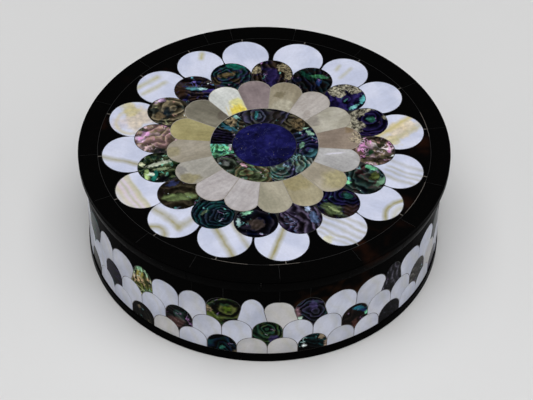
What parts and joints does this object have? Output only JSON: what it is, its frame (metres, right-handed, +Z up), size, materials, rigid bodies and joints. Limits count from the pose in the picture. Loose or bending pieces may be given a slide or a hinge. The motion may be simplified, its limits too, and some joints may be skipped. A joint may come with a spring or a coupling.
{
  "type": "round inlaid marble jewelry box",
  "caption": "Low round marble box with a lift-off lid, faced with pearl, abalone and dark shell in a lapis-centred flower and rows of arched tiles.",
  "frame": {"origin": "centre of the flat underside, on the surface that the box stands on", "axes": "+Z up through the middle of the lid, -Y towards the side that the picture shows, +X to the right of it"},
  "size_m": [0.127, 0.127, 0.0416],
  "materials": {
    "marble": "white marble, honed, with faint grey veins",
    "dark_shell": "polished near-black shell with brown translucent patches, set in short lengths",
    "white_pearl": "polished mother of pearl, white with a lilac tint and olive growth lines",
    "grey_pearl": "polished translucent mother of pearl, grey-beige to yellow-green",
    "abalone": "polished abalone, dark blue-green with black swirls and bright glints",
    "lapis": "polished deep blue lapis lazuli with fine paler veins"
  },
  "bodies": {
    "root": {"box_body": "marble", "lid_slab": "marble", "base_ring": "dark_shell", "tile_row_lower": "white_pearl", "tile_row_middle": "white_pearl", "tile_row_upper": "white_pearl", "side_top_band": "dark_shell", "lid_side_band": "dark_shell", "lid_border_ring": "dark_shell", "lid_ground": "dark_shell", "lid_center_disc": "lapis", "lid_abalone_ring": "abalone", "inner_petal_01": "grey_pearl", "inner_petal_02": "grey_pearl", "inner_petal_03": "grey_pearl", "inner_petal_04": "grey_pearl", "inner_petal_05": "grey_pearl", "inner_petal_06": "grey_pearl", "inner_petal_07": "grey_pearl", "inner_petal_08": "grey_pearl", "inner_petal_09": "grey_pearl", "inner_petal_10": "grey_pearl", "inner_petal_11": "grey_pearl", "inner_petal_12": "grey_pearl", "inner_petal_13": "grey_pearl", "inner_petal_14": "grey_pearl", "inner_petal_15": "grey_pearl", "inner_petal_16": "grey_pearl", "abalone_disc_01": "abalone", "abalone_disc_02": "abalone", "abalone_disc_03": "abalone", "abalone_disc_04": "abalone", "abalone_disc_05": "abalone", "abalone_disc_06": "abalone", "abalone_disc_07": "abalone", "abalone_disc_08": "abalone", "abalone_disc_09": "abalone", "abalone_disc_10": "abalone", "abalone_disc_11": "abalone", "abalone_disc_12": "abalone", "abalone_disc_13": "abalone", "abalone_disc_14": "abalone", "abalone_disc_15": "abalone", "abalone_disc_16": "abalone", "outer_petal_01": "white_pearl", "outer_petal_02": "white_pearl", "outer_petal_03": "white_pearl", "outer_petal_04": "white_pearl", "outer_petal_05": "white_pearl", "outer_petal_06": "white_pearl", "outer_petal_07": "white_pearl", "outer_petal_08": "white_pearl", "outer_petal_09": "white_pearl", "outer_petal_10": "white_pearl", "outer_petal_11": "white_pearl", "outer_petal_12": "white_pearl", "outer_petal_13": "white_pearl", "outer_petal_14": "white_pearl", "outer_petal_15": "white_pearl", "outer_petal_16": "white_pearl"}
  },
  "joints": []
}
